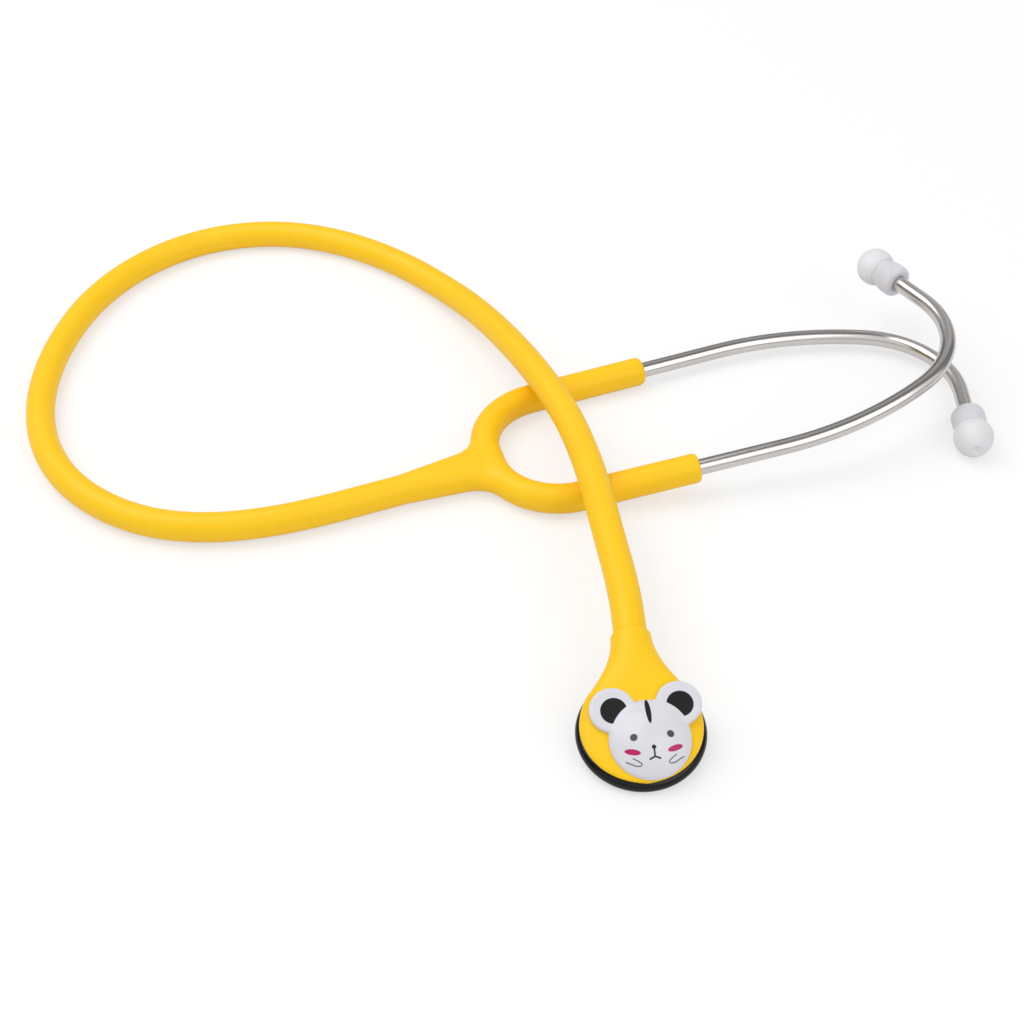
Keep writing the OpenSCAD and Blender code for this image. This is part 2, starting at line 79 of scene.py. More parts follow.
# Hose
# An extruded tube of soft yellow vinyl that carries the sound. One end is pushed over the stem inside the
# chest piece's neck, and the other is one moulding with the yoke. It lies in one wide loop over the legs.
hose_radius, hose_length = 0.005, 0.6105
neck_hole_depth, hose_straight = 0.0078, 0.010
hose_end_round, hose_end_share, hose_ease = 0.0003, 0.9, 0.004
# How finely lines, rings and sections are drawn, and the angle past which an edge looks sharp
line_step, ring_step, hose_sides = 0.001, 0.0015, 48
sharp_over = math.radians(50)
# The route of the part's source: the hose's middle on the table, and the height of its underside
hose_route = [
    (-0.0464, -0.0260, 0.0122), (-0.0449, -0.0130, 0.0125), (-0.0432, 0.0010, 0.0125),
    (-0.0414, 0.0160, 0.0124), (-0.0402, 0.0320, 0.0122), (-0.0400, 0.0500, 0.0120),
    (-0.0416, 0.0675, 0.0118), (-0.0440, 0.0845, 0.0110), (-0.0466, 0.1010, 0.0090),
    (-0.0494, 0.1180, 0.0060), (-0.0536, 0.1350, 0.0033), (-0.0593, 0.1510, 0.0012),
    (-0.0683, 0.1685, 0.0003), (-0.0792, 0.1835, 0.0001), (-0.0925, 0.1968, 0.0001),
    (-0.1080, 0.2070, 0.0001), (-0.1250, 0.2126, 0.0001), (-0.1430, 0.2132, 0.0001),
    (-0.1600, 0.2086, 0.0001), (-0.1760, 0.1992, 0.0001), (-0.1900, 0.1852, 0.0001),
    (-0.2015, 0.1665, 0.0001), (-0.2095, 0.1460, 0.0001), (-0.2136, 0.1240, 0.0001),
    (-0.2128, 0.1030, 0.0001), (-0.2067, 0.0830, 0.0001), (-0.1964, 0.0670, 0.0001),
    (-0.1815, 0.0538, 0.0001), (-0.1640, 0.0460, 0.0001), (-0.1460, 0.0429, 0.0001),
    (-0.1280, 0.0427, 0.0001), (-0.1120, 0.0439, 0.0001)]
joints = {joint["name"]: joint for joint in frame["joints"]}
neck_mouth = np.array(joints["chestpiece_turn"]["pos_m"])
stem_along = np.array(joints["chestpiece_turn"]["axis"])
# The yoke's neck runs from the hose to the middle of the U, beside the yoke's own axis
yoke_middle = np.array((-0.0677, 0.0510, 0.00505))
neck_azimuth, neck_shift, neck_length = math.radians(5.4), 0.003, 0.032
neck_along = np.array((math.cos(neck_azimuth), math.sin(neck_azimuth), 0))
neck_end = yoke_middle - (0, neck_shift, 0)
neck_start = neck_end - neck_along * neck_length


def unit(rows):
    """Each row divided by its length."""
    return rows / np.linalg.norm(rows, axis=-1, keepdims=True)


def lengths_along(points):
    """Length of a polyline up to each of its points."""
    return np.concatenate(([0.0], np.cumsum(np.linalg.norm(np.diff(points, axis=0), axis=1))))


def flowing(points, first_way, last_way, step):
    """A smooth line through points: cubic pieces whose directions come from each point's neighbours."""
    run = lengths_along(points)
    way = np.gradient(points, run, axis=0)
    way[0], way[-1] = first_way, last_way
    places = np.linspace(0, run[-1], round(run[-1] / step) + 1)
    i = np.clip(np.searchsorted(run, places, "right") - 1, 0, len(run) - 2)
    span = (run[i + 1] - run[i])[:, None]
    t = (places - run[i])[:, None] / span
    return ((2 * t ** 3 - 3 * t ** 2 + 1) * points[i] + (t ** 3 - 2 * t ** 2 + t) * span * way[i]
            + (3 * t ** 2 - 2 * t ** 3) * points[i + 1] + (t ** 3 - t ** 2) * span * way[i + 1])


def eased(points, step, reach):
    """An evenly laid line averaged with a bell curve of that reach, its end stretches kept straight."""
    run = lengths_along(points)
    places = np.linspace(0, run[-1], round(run[-1] / step) + 1)
    even = np.stack([np.interp(places, run, points[:, axis]) for axis in range(3)], axis=1)
    more = round(3 * reach / step)
    before = even[0] + np.arange(-more, 0)[:, None] * (even[1] - even[0])
    after = even[-1] + np.arange(1, more + 1)[:, None] * (even[-1] - even[-2])
    padded = np.concatenate((before, even, after))
    bell = np.exp(-0.5 * (np.arange(-more, more + 1) * step / reach) ** 2)
    return np.stack([np.convolve(padded[:, axis], bell / bell.sum(), "valid") for axis in range(3)], axis=1)


def carried(path, profile, section, upward=(0, 0, 1)):
    """A section carried along a path. Each row of the profile is (distance along the path, scale of the
    section), and the section's points are offsets to the side and upwards. A point is the path's place
    plus its scaled offsets. Returns rings, and for each point the offsets with the distance."""
    run = lengths_along(path)
    along = unit(np.gradient(path, run, axis=0))
    places, scales = np.asarray(profile, float).T
    centre = np.stack([np.interp(places, run, path[:, axis]) for axis in range(3)], axis=1)
    ahead_there = unit(np.stack([np.interp(places, run, along[:, axis]) for axis in range(3)], axis=1))
    beyond = places - np.clip(places, 0, run[-1])
    centre = centre + ahead_there * beyond[:, None]
    side = unit(np.cross(np.asarray(upward, float), ahead_there))
    above = np.cross(ahead_there, side)
    offsets = np.asarray(section)[None] * scales[:, None, None]
    rings = centre[:, None] + offsets[..., :1] * side[:, None] + offsets[..., 1:] * above[:, None]
    distance = np.broadcast_to(places[:, None, None], offsets.shape[:2] + (1,))
    lay = np.concatenate((offsets, distance), axis=2)
    return rings, lay


def circle(sides):
    """Points round a circle of radius 1."""
    angle = (np.arange(sides) + 0.5) * 2 * math.pi / sides
    return np.stack((np.cos(angle), np.sin(angle)), axis=1)


def dense(outline, step):
    """An outline with points added so that none lie further apart than the step."""
    outline = np.asarray(outline, float)
    spans = np.linalg.norm(np.diff(outline, axis=0), axis=1)
    counts = [max(1, math.ceil(span / step)) for span in spans]
    rows = [outline[i] + (outline[i + 1] - outline[i]) * np.linspace(0, 1, count, endpoint=False)[:, None]
            for i, count in enumerate(counts)]
    return np.concatenate(rows + [outline[-1:]])


def rounded(corners, steps=6):
    """An outline with an arc at each corner. A corner is (along, across, radius), and radius 0 keeps it
    sharp. An arc's middle lies on the line that halves the corner, and its points turn evenly about it
    between the two places where it touches the sides."""
    points = np.array([corner[:2] for corner in corners], float)
    out = []
    for i, (_, _, radius) in enumerate(corners):
        here = points[i]
        if radius == 0:
            out.append(here[None])
            continue
        back, on = unit(points[i - 1] - here), unit(points[(i + 1) % len(points)] - here)
        half = math.acos(np.clip(back @ on, -1, 1)) / 2
        middle = here + unit(back + on) * radius / math.sin(half)
        first = here + back * radius / math.tan(half) - middle
        last = here + on * radius / math.tan(half) - middle
        share = np.linspace(0, 1, steps + 1)[:, None]
        opening = math.pi - 2 * half
        out.append(middle + (np.sin((1 - share) * opening) * first + np.sin(share * opening) * last)
                   / math.sin(opening))
    return np.concatenate(out)


def tube_faces(rows, columns, closed):
    """Quads between rings, seen from outside. A closed profile joins its last ring to its first, and an
    open one has its end rings drawn to one point each."""
    column = np.arange(columns)
    following = (column + 1) % columns
    start = np.arange(rows)[:, None] * columns if closed else 1 + np.arange(rows - 3)[:, None] * columns
    beside = np.roll(start, -1, axis=0) if closed else start + columns
    quads = np.stack((start + column, start + following, beside + following, beside + column), axis=-1)
    quads = quads.reshape(-1, 4).tolist()
    if closed:
        return quads
    tip = 1 + (rows - 2) * columns
    last = tip - columns
    first_cap = np.stack((np.zeros(columns, int), 1 + following, 1 + column), axis=-1).tolist()
    last_cap = np.stack((np.full(columns, tip), last + column, last + following), axis=-1).tolist()
    return first_cap + quads + last_cap


def new_piece(name, points, faces, **attributes):
    """A smooth mesh with its place in its points. Each attribute is three numbers a point."""
    mesh = bpy.data.meshes.new(name)
    mesh.from_pydata(np.asarray(points).tolist(), [], faces)
    for key, values in attributes.items():
        mesh.attributes.new(key, "FLOAT_VECTOR", "POINT").data.foreach_set(
            "vector", np.asarray(values, np.float32).ravel())
    mesh.polygons.foreach_set("use_smooth", np.ones(len(mesh.polygons), bool))
    mesh.set_sharp_from_angle(angle=sharp_over)
    piece = bpy.data.objects.new(name, mesh)
    bpy.context.scene.collection.objects.link(piece)
    return piece


def swept_piece(name, path, profile, section, upward=(0, 0, 1), closed=False):
    """A carried section made a closed mesh, with its offsets and distances kept as the attribute lay.
    Where the profile is open, its first and last rows are drawn to their middle points."""
    rings, lay = carried(path, profile, section, upward)
    points, grain = rings.reshape(-1, 3), lay.reshape(-1, 3)
    if not closed:
        middle = slice(rings.shape[1], -rings.shape[1])
        points = np.concatenate((rings[:1].mean(axis=1), points[middle], rings[-1:].mean(axis=1)))
        grain = np.concatenate((lay[:1].mean(axis=1), grain[middle], lay[-1:].mean(axis=1)))
    faces = tube_faces(len(rings), rings.shape[1], closed)
    return new_piece(name, points, faces, lay=grain)


class Wire:
    """A shader output that takes Python's signs: each sign or method adds one Math node."""

    def __init__(self, tree, socket):
        self.tree, self.socket = tree, socket

    def maths(self, operation, *parts):
        node = self.tree.nodes.new("ShaderNodeMath")
        node.operation = operation
        for socket, part in zip(node.inputs, parts):
            feed(self.tree, socket, part)
        return Wire(self.tree, node.outputs[0])

    def __add__(self, other):
        return self.maths("ADD", self, other)

    __radd__ = __add__

    def __sub__(self, other):
        return self.maths("SUBTRACT", self, other)

    def __rsub__(self, other):
        return self.maths("SUBTRACT", other, self)

    def __mul__(self, other):
        return self.maths("MULTIPLY", self, other)

    __rmul__ = __mul__

    def __truediv__(self, other):
        return self.maths("DIVIDE", self, other)

    def __abs__(self):
        return self.maths("ABSOLUTE", self)

    def least(self, other):
        return self.maths("MINIMUM", self, other)

    def most(self, other):
        return self.maths("MAXIMUM", self, other)

    def root(self):
        return self.maths("SQRT", self)


def feed(tree, socket, value):
    """Links a wire to a socket, or sets the socket's own value."""
    if isinstance(value, Wire):
        tree.links.new(value.socket, socket)
    else:
        socket.default_value = value


class Finish:
    """The nodes of a new material or world being put together."""

    def __init__(self, owner):
        self.owner = owner
        owner.use_nodes = True
        self.tree = owner.node_tree
        self.tree.nodes.clear()

    def add(self, kind, settings=(), values=(), output=0):
        """Any node but Math: its settings first, then the values or wires of its sockets."""
        node = self.tree.nodes.new("ShaderNode" + kind)
        for name, value in dict(settings).items():
            setattr(node, name, value)
        for name, value in dict(values).items():
            feed(self.tree, node.inputs[name], value)
        return Wire(self.tree, node.outputs[output]) if node.outputs else None

    def place(self):
        """The point's place in the row frame, in metres."""
        return self.add("TexCoord", output="Object")

    def noise(self, vector, scale, detail=2.0):
        """Soft noise about one half. The scale is in waves a unit of the vector."""
        return self.add("TexNoise", {}, {"Vector": vector, "Scale": scale, "Detail": detail})

    def step(self, value, edge, softness):
        """1 where the value is under the edge, 0 over it, with a soft change between."""
        return self.add("MapRange", {"interpolation_type": "SMOOTHSTEP"},
                        {"Value": value, "From Min": edge - softness, "From Max": edge + softness,
                         "To Min": 1.0, "To Max": 0.0})

    def mix(self, share, first, second):
        """One colour over another."""
        return self.add("Mix", {"data_type": "RGBA"}, {0: share, 6: first, 7: second}, output=2)

    def bump(self, height, depth):
        """A relief of that depth in metres."""
        return self.add("Bump", {}, {"Height": height, "Distance": depth, "Strength": 1.0})

    def end(self, **sockets):
        """Closes the material with its shader. Underscores stand for the spaces of the sockets' names."""
        named = {key.replace("_", " "): value for key, value in sockets.items()}
        self.add("OutputMaterial", {}, {"Surface": self.add("BsdfPrincipled", {}, named)})
        return self.owner


def vinyl(name, light, deep, streaked=False):
    """Soft satin vinyl: cloudy colour, a faintly uneven gloss, and fine lines along an extruded hose."""
    finish = Finish(bpy.data.materials.new(name))
    place = finish.place()
    cloud = finish.noise(place, scale=45, detail=3)
    grain = finish.noise(place, scale=1400, detail=2)
    height = grain * 0.6
    if streaked:
        lay = finish.add("Attribute", {"attribute_name": "lay"}, output="Vector")
        stretched = finish.add("VectorMath", {"operation": "MULTIPLY"}, {0: lay, 1: (900, 900, 12)})
        height = height + finish.noise(stretched, scale=1, detail=1)
    return finish.end(Base_Color=finish.mix(cloud, deep, light),
                      Roughness=0.36 + cloud * 0.08 + grain * 0.06,
                      Normal=finish.bump(height, depth=0.000015), Specular_IOR_Level=0.3)


hose_line = np.concatenate((
    [neck_mouth + stem_along * reach for reach in (-neck_hole_depth, 0, hose_straight)],
    np.array(hose_route) + (0, 0, hose_radius), [neck_start]))
hose_path = eased(flowing(hose_line, stem_along, neck_along, line_step), line_step, hose_ease)
hose_run = lengths_along(hose_path)[-1]
hose_profile = dense(rounded([
    (0, hose_radius * hose_end_share, 0), (0, hose_radius, hose_end_round),
    (hose_run, hose_radius, 0), (hose_run, hose_radius * hose_end_share, 0)]), ring_step)
tube_yellow, tube_amber = (1.0, 0.615, 0.009, 1), (0.97, 0.57, 0.005, 1)
hose = swept_piece("hose", hose_path, hose_profile, circle(hose_sides))
hose.data.materials.append(vinyl("hose_vinyl", tube_yellow, tube_amber, streaked=True))
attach(hose, "root")
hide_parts("main_tube")

# Yoke
# The moulded end of the hose, of the same vinyl: a neck that widens into a U, hollow all through. Its
# skin is the zero surface of one field, so that neck and U meet in a soft hollow corner.
yoke_span, crotch_radius, arm_splay = 0.054, 0.0239, math.radians(4.5)
neck_flare, neck_core = 0.0056, 0.025
corner_turn = math.pi / 2 - arm_splay
corner_side = yoke_span / 2 - crotch_radius * math.cos(arm_splay)
corner_x = yoke_middle[0] + crotch_radius
# The corners beyond this turn flex when the arms are spread, and are pieces of their own
fixed_turn = corner_turn - math.radians(30)
# The skin runs on into its neighbours for this length, narrowing at this rate, so that no seam opens
lap, lap_taper = 0.0015, 0.15
hollow_corner = 0.008
net_step = 0.0006


def blended(first, second, width):
    """The smaller of two fields, with a rounded change over where they differ by less than the width."""
    near = np.maximum(width - abs(first - second), 0) / width
    return np.minimum(first, second) - near ** 2 * width / 4


def yoke_field(points):
    """Distance from the yoke's skin, under zero inside. In plan, the gap to the neck's flat core and to
    the U's centre line are blended. A round section stands over that gap."""
    x, y = points[..., 0], points[..., 1]
    z = points[..., 2] - yoke_middle[2]
    away = points - neck_start
    run = away @ neck_along
    across = abs(away[..., 1] * neck_along[0] - away[..., 0] * neck_along[1])
    half = neck_flare / 2 * np.clip(run / neck_core, 0, 1)
    neck_gap = np.hypot(np.maximum(across - half, 0), np.maximum(run - neck_core, 0))
    beside = abs(y - yoke_middle[1]) - corner_side
    turned_by = np.arctan2(np.maximum(beside, 0), corner_x - x)
    corner_gap = abs(np.hypot(x - corner_x, beside) - crotch_radius)
    u_gap = np.where(beside < 0, abs(x - yoke_middle[0]), corner_gap)
    past = np.maximum((turned_by - fixed_turn) * crotch_radius, -run)
    gap = np.maximum(blended(neck_gap, u_gap, hollow_corner), 0)
    skin = np.hypot(gap, z) - hose_radius + lap_taper * np.maximum(past, 0)
    return np.maximum(skin, past - lap)


def net(field, low, high, step):
    """A mesh round the space where the field is under zero. Each grid cell that the surface crosses gets
    a point, and each grid edge that it crosses gets a quad."""
    axes = [np.arange(a, b + step, step) for a, b in zip(low, high)]
    inside = field(np.stack(np.meshgrid(*axes, indexing="ij"), axis=-1)) < 0
    a, b, c = (size - 1 for size in inside.shape)
    cell_corners = [inside[i:i + a, j:j + b, k:k + c] for i in (0, 1) for j in (0, 1) for k in (0, 1)]
    filled = np.sum(cell_corners, axis=0)
    crossed = (filled > 0) & (filled < len(cell_corners))
    number = np.full(crossed.shape, -1)
    number[crossed] = np.arange(crossed.sum())
    quads = []
    for axis in range(3):
        filled_here, cells = np.moveaxis(inside, axis, 0), np.moveaxis(number, axis, 0)
        before, after = filled_here[:-1, 1:-1, 1:-1], filled_here[1:, 1:-1, 1:-1]
        around = np.stack((cells[:, :-1, :-1], cells[:, 1:, :-1], cells[:, 1:, 1:], cells[:, :-1, 1:]),
                          axis=-1)
        if axis == 1:
            around = around[..., ::-1]
        quads += [around[before & ~after], around[~before & after][:, ::-1]]
    return np.argwhere(crossed) * step + np.asarray(low) + step / 2, np.concatenate(quads)


def settled(points, quads, field, step, rounds=6):
    """Points evened out among their neighbours, then slid along the field's slope onto its zero surface,
    round after round, and slid alone in as many rounds more."""
    reach, even_share, least_slope, least_move = step / 50, 0.5, 1e-6, 1e-12
    probe = np.eye(3) * reach
    pairs = np.concatenate((quads[:, :2], quads[:, 1:3], quads[:, 2:], quads[:, [3, 0]]))
    count = np.bincount(pairs[:, 0], minlength=len(points))[:, None]
    for turn in range(2 * rounds):
        if turn < rounds:
            total = np.stack([np.bincount(pairs[:, 0], points[pairs[:, 1], axis], len(points))
                              for axis in range(3)], axis=1)
            points = points + even_share * (total / count - points)
        rise = np.stack([field(points + way) - field(points - way) for way in probe], axis=-1)
        slope = rise / (2 * reach)
        move = slope * (field(points) / np.maximum((slope ** 2).sum(axis=-1), least_slope))[:, None]
        far = np.maximum(np.linalg.norm(move, axis=1), least_move)
        points = points - move * np.minimum(1, step / far)[:, None]
    return points


yoke_low, yoke_high = (np.array(corner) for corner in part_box("yoke"))
yoke_margin = 3 * net_step
yoke_points, yoke_quads = net(yoke_field, yoke_low - yoke_margin, yoke_high + yoke_margin, net_step)
yoke_points = settled(yoke_points, yoke_quads, yoke_field, net_step)
yoke_vinyl = vinyl("yoke_vinyl", tube_yellow, tube_amber)
yoke = new_piece("yoke_skin", yoke_points, yoke_quads.tolist())
yoke.data.materials.append(yoke_vinyl)
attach(yoke, "root")
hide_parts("yoke")

# Legs of the yoke
# The rest of the moulding: a soft corner that bends with the arm, then a straight sleeve that grips an
# ear tube in its rounded mouth. Inside are a bore, a wider room for the spring clip and the tube's seat.
leg_length, mouth_round, mouth_edge = 0.0425, 0.0018, 0.0003
hose_bore = 0.0026
clip_room_radius, clip_room = 0.00333, (0.0120, 0.02665)
tube_radius, tube_seat = 0.0027, 0.00273
upper_lift, upper_twist, lower_twist = math.radians(6.6), math.radians(2), math.radians(1.24891)
leg_ease, leg_ring_step, corner_points, round_steps = 0.001, 0.0012, 40, 8
# Each arm's side of the yoke, its lift off the table and its turn about its own leg
sides = {"left": (1, 0, lower_twist), "right": (-1, upper_lift, upper_twist)}


def arm_frame(side):
    """An arm's root and three directions square to one another: along the leg, inward to the other arm
    and above. They are the table's, turned by the splay, the lift and the twist about the leg."""
    sign, lift, twist = sides[side]
    lie = Matrix.Rotation(sign * arm_splay, 3, "Z") @ Matrix.Rotation(-lift, 3, "Y")
    ways = {"along": (1, 0, 0), "inward": (0, -sign * math.cos(twist), math.sin(twist)),
            "above": (0, sign * math.sin(twist), math.cos(twist))}
    made = {name: np.array(lie @ Vector(way)) for name, way in ways.items()}
    return made | {"root": np.array(joints[f"arm_spread_{side}"]["pos_m"])}


arms = {side: arm_frame(side) for side in sides}


def corner_line(side, first_turn, leg_reach):
    """The centre line of one side of the U: an arc from that turn to the arm's root, then the leg's line
    out to that reach."""
    sign = sides[side][0]
    turn = np.linspace(first_turn, corner_turn, corner_points)
    bend = np.stack((corner_x - crotch_radius * np.cos(turn),
                     yoke_middle[1] + sign * (corner_side + crotch_radius * np.sin(turn)),
                     np.full(len(turn), yoke_middle[2])), axis=1)
    return np.concatenate((bend, [arms[side]["root"] + arms[side]["along"] * leg_reach]))


def ringed(outline, step):
    """A closed outline made dense all round."""
    return dense(np.concatenate((outline, outline[:1])), step)[:-1]


for side in sides:
    leg_path = eased(corner_line(side, fixed_turn, leg_length), line_step / 2, leg_ease)
    leg_run = lengths_along(leg_path)[-1]
    room_start, room_end = (leg_run - leg_length + place for place in clip_room)
    leg_outline = rounded([
        (0, hose_radius, 0), (leg_run, hose_radius, mouth_round), (leg_run, tube_seat, mouth_edge),
        (room_end, tube_seat, 0), (room_end, clip_room_radius, 0), (room_start, clip_room_radius, 0),
        (room_start, hose_bore, 0), (0, hose_bore, 0)], round_steps)
    leg_profile = ringed(leg_outline, leg_ring_step)
    leg = swept_piece(f"yoke_leg_skin_{side}", leg_path, leg_profile, circle(hose_sides), closed=True)
    leg.data.materials.append(yoke_vinyl)
    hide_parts(f"yoke_bend_{side}", f"yoke_leg_{side}")
    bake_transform(leg)

# Leaf springs and their clips
# Two rolled steel strips nest inside the U and draw the arms together, and turned metal clips hold their
# ends to the ear tubes. Each strip is cut at the middle of the U, one half for each arm.
leaf_half = np.array((0.00025, 0.0018))
leaf_offset, leaf_reach, leaf_edge_share = 0.00055, 0.0155, 0.7


def steel(name, colour, roughness, grain, depth, uneven=0.05):
    """Bare metal: a slightly clouded colour, and lines of wear along the axes of the smaller scales."""
    finish = Finish(bpy.data.materials.new(name))
    place = finish.place()
    cloud = finish.noise(place, scale=90, detail=2)
    stretched = finish.add("VectorMath", {"operation": "MULTIPLY"}, {0: place, 1: grain})
    lines = finish.noise(stretched, scale=1, detail=2)
    dull_share = 0.86
    dull = tuple(dull_share * part for part in colour[:3]) + (1,)
    return finish.end(Base_Color=finish.mix(cloud, dull, colour), Metallic=1.0,
                      Roughness=roughness + uneven * lines + uneven * cloud,
                      Normal=finish.bump(lines, depth))


spring_steel = steel("spring_steel", (0.50, 0.51, 0.53, 1), 0.28, (300, 300, 4000), 0.000004)
clip_metal = steel("clip_metal", (0.66, 0.66, 0.68, 1), 0.25, (5000, 400, 400), 0.000006)
leaf_edge = np.array(((1, leaf_edge_share), (leaf_edge_share, 1)))
leaf_corners = np.concatenate((leaf_edge, leaf_edge[::-1] * (-1, 1), -leaf_edge, leaf_edge[::-1] * (1, -1)))
for side, (sign, _, _) in sides.items():
    leaf_line = np.concatenate(([yoke_middle], corner_line(side, 0.0, leaf_reach)))
    leaf_path = eased(leaf_line, line_step / 2, leg_ease)
    leaf_run = lengths_along(leaf_path)[-1]
    for name, offset in (("inner", -leaf_offset), ("outer", leaf_offset)):
        section = leaf_corners * leaf_half + (sign * offset, 0)
        leaf_profile = dense([(0, 1), (leaf_run, 1)], line_step)
        leaf_profile = np.concatenate((leaf_profile[:1], leaf_profile, leaf_profile[-1:]))
        leaf = swept_piece(f"leaf_{name}_{side}", leaf_path, leaf_profile, section)
        leaf.data.materials.append(spring_steel)
        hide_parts(f"leaf_spring_{name}")
        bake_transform(leaf)


def refinish(node, material):
    """Gives a CAD node that stays in sight its material."""
    slots = frame["nodes"][node].data.materials
    slots.clear()
    slots.append(material)


for side in sides:
    refinish(f"spring_clip_{side}", clip_metal)

# Ear tubes
# Drawn and polished steel tubes of 5.4 mm. Each leaves its leg straight, bows gently, then turns towards
# the ear. They are bent cold from one length, and the polishing leaves faint lines along them.
tube_wall, tube_start, tube_straight = 0.0005, 0.01753, 0.029
bow_radius, bow_turn = 0.113, math.radians(28)
ear_bend_radius, ear_bend_turn = 0.033, math.radians(83)
tube_end, tube_in_tip = 0.013, 0.008
wall_edge, wall_edge_steps, tube_ease = 0.0001, 2, 0.0015
tube_sides, bow_points, bend_points = 40, 60, 90


def tube_line(side):
    """The centre line of an ear tube: a straight, the arc of the long bow, the tighter arc to the ear and
    a short straight, laid out in the plane of the arm's directions along and inward."""
    bow = np.linspace(0, bow_turn, bow_points)
    bow_x = leg_length + tube_straight + bow_radius * np.sin(bow)
    bow_y = bow_radius * (1 - np.cos(bow))
    turn = bow_turn + np.linspace(0, ear_bend_turn, bend_points)[1:]
    bend_x = bow_x[-1] + ear_bend_radius * (np.sin(turn) - np.sin(bow_turn))
    bend_y = bow_y[-1] + ear_bend_radius * (np.cos(bow_turn) - np.cos(turn))
    reach = tube_end + tube_in_tip
    flat = np.concatenate((
        [(tube_start, 0)], np.stack((bow_x, bow_y), axis=1), np.stack((bend_x, bend_y), axis=1),
        [(bend_x[-1] + reach * math.cos(turn[-1]), bend_y[-1] + reach * math.sin(turn[-1]))]))
    arm = arms[side]
    return arm["root"] + flat[:, :1] * arm["along"] + flat[:, 1:] * arm["inward"]


def polished_tube(name):
    """Bright polished steel with faint lines along the tube and a thin haze of handling."""
    finish = Finish(bpy.data.materials.new(name))
    place = finish.place()
    lay = finish.add("Attribute", {"attribute_name": "lay"}, output="Vector")
    stretched = finish.add("VectorMath", {"operation": "MULTIPLY"}, {0: lay, 1: (2600, 2600, 30)})
    lines = finish.noise(stretched, scale=1, detail=2)
    haze = finish.noise(place, scale=60, detail=3)
    bright, warm = (0.74, 0.715, 0.70, 1), (0.62, 0.59, 0.57, 1)
    return finish.end(Base_Color=finish.mix(haze, warm, bright), Metallic=1.0,
                      Roughness=0.13 + haze * 0.07 + lines * 0.06,
                      Normal=finish.bump(lines, depth=0.000004))


bright_steel = polished_tube("bright_steel")
for side in sides:
    tube_path = eased(tube_line(side), line_step, tube_ease)
    tube_run = lengths_along(tube_path)[-1]
    tube_corners = ((0, tube_radius), (tube_run, tube_radius), (tube_run, tube_radius - tube_wall),
                    (0, tube_radius - tube_wall))
    tube_outline = rounded([(*corner, wall_edge) for corner in tube_corners], wall_edge_steps)
    tube_profile = ringed(tube_outline, ring_step)
    tube = swept_piece(f"ear_tube_steel_{side}", tube_path, tube_profile, circle(tube_sides),
                       arms[side]["above"], closed=True)
    tube.data.materials.append(bright_steel)
    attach(tube, f"arm_{side}")
    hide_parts(f"ear_tube_{side}")

# Ear tips and the collars that hold them
# A frosted silicone ball on a flared skirt pulls over a grooved plastic collar on the tube's end. The
# tips are turned forms with a fine canal through the ball. Their bluish collars show through faintly.
tip_length, ball_radius = 0.0192, 0.0067
skirt_radius, skirt_round, waist_radius, waist_place = 0.00575, 0.0016, 0.0051, 0.0084
collar_seat, seat_depth, canal_radius, canal_mouth = 0.00343, 0.00815, 0.0014, 0.0006
lip_seal, lip_round, lip_mouth, lip_inside = 0.00273, 0.0002, 0.0005, 0.0006
skirt_straight, skirt_fade, waist_round = 0.0045, 0.004, 0.0008
# The ball's arc starts and ends this many degrees beyond its crossings with the waist and the canal
waist_lap, canal_lap = 4, 2
ball_points, tip_ring_step, tip_sides = 40, 0.0004, 72
# The collar shows through to about this depth, with a change this soft
core_depth, core_soft = 0.0082, 0.0028


def arc(middle, radius, first, last, steps):
    """Points of an arc about a middle, between two angles in degrees from the path's direction."""
    angle = np.radians(np.linspace(first, last, steps))
    return np.stack((middle + radius * np.cos(angle), radius * np.sin(angle)), axis=1)


def silicone(name):
    """Frosted clear silicone: milky, a little see-through, greyer where the collar lies behind it. Its
    canal is painted with a faint glow, an emission that stands in for the light coming through the ball."""
    finish = Finish(bpy.data.materials.new(name))
    place = finish.place()
    lay = finish.add("Attribute", {"attribute_name": "lay"}, output="Vector")
    side, up, depth_in = (finish.add("SeparateXYZ", {}, {0: lay}, output=axis) for axis in range(3))
    core = finish.step(depth_in, core_depth, core_soft)
    wall_share, wall_soft_share, floor_soft = 1.08, 0.04, 0.001
    off_middle = (side * side + up * up).root()
    canal = finish.step(off_middle, canal_radius * wall_share, canal_radius * wall_soft_share)
    filled = canal * (1 - finish.step(depth_in, seat_depth, floor_soft))
    cloud = finish.noise(place, scale=140, detail=2)
    milk = finish.mix(core * 0.7 + cloud * 0.2, (0.905, 0.905, 0.92, 1), (0.82, 0.805, 0.875, 1))
    # Painted glow: inside the canal, down to the collar's seat, a faint emission stands in for the light that
    # comes through the silicone
    glow = finish.mix(filled, (0, 0, 0, 1), (0.12, 0.12, 0.125, 1))
    return finish.end(Base_Color=milk, Roughness=0.42 + cloud * 0.1, IOR=1.41, Subsurface_Weight=0.7,
                      Subsurface_Scale=0.003, Subsurface_Radius=(1.0, 1.0, 1.1), Transmission_Weight=0.25,
                      Emission_Color=glow, Emission_Strength=1.0,
                      Normal=finish.bump(finish.noise(place, scale=2200, detail=2), depth=0.00001))


def moulded(name, colour, shade, roughness, relief=0.00001, **more):
    """Moulded plastic or rubber: clouded colour, uneven gloss and a very fine grain."""
    finish = Finish(bpy.data.materials.new(name))
    place = finish.place()
    cloud = finish.noise(place, scale=120, detail=3)
    grain = finish.noise(place, scale=2500, detail=2)
    return finish.end(Base_Color=finish.mix(cloud, shade, colour), Normal=finish.bump(grain, relief),
                      Roughness=roughness + cloud * 0.08 + grain * 0.05, **more)


